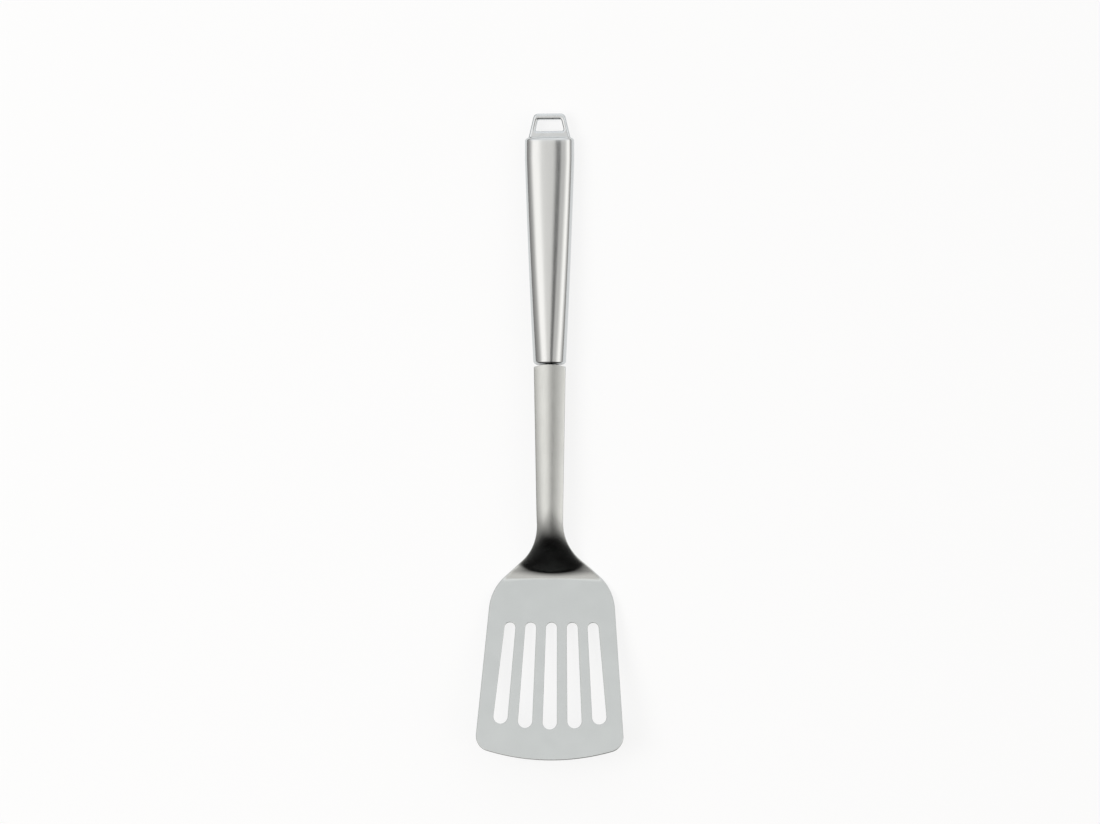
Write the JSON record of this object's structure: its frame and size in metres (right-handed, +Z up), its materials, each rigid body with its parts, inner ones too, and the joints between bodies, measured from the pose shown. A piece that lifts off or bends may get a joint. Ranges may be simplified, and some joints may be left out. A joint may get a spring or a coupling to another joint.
{
  "type": "slotted kitchen turner",
  "caption": "Slotted stainless-steel turner with a flared, pitched blade, an offset neck, a crowned shank, a hollow tapered grip and a fixed trapezoid hanging loop.",
  "frame": {"origin": "middle of the part's box on the table that it lies on", "axes": "+Y along the tool towards the hanging loop, +Z up out of the blade's food side, +X to the right seen from above"},
  "size_m": [0.0824, 0.359, 0.0275],
  "materials": {
    "blade_steel": "fine satin stainless steel",
    "grip_steel": "semi-bright stainless steel, brushed along the grip",
    "loop_steel": "tumbled satin stainless steel",
    "bush_plastic": "moulded nylon"
  },
  "bodies": {
    "root": {"turner_blade": "blade_steel", "handle_shell": "grip_steel", "front_plate": "grip_steel", "tang_bush": "bush_plastic", "end_cap": "grip_steel", "hang_loop": "loop_steel"}
  },
  "joints": []
}
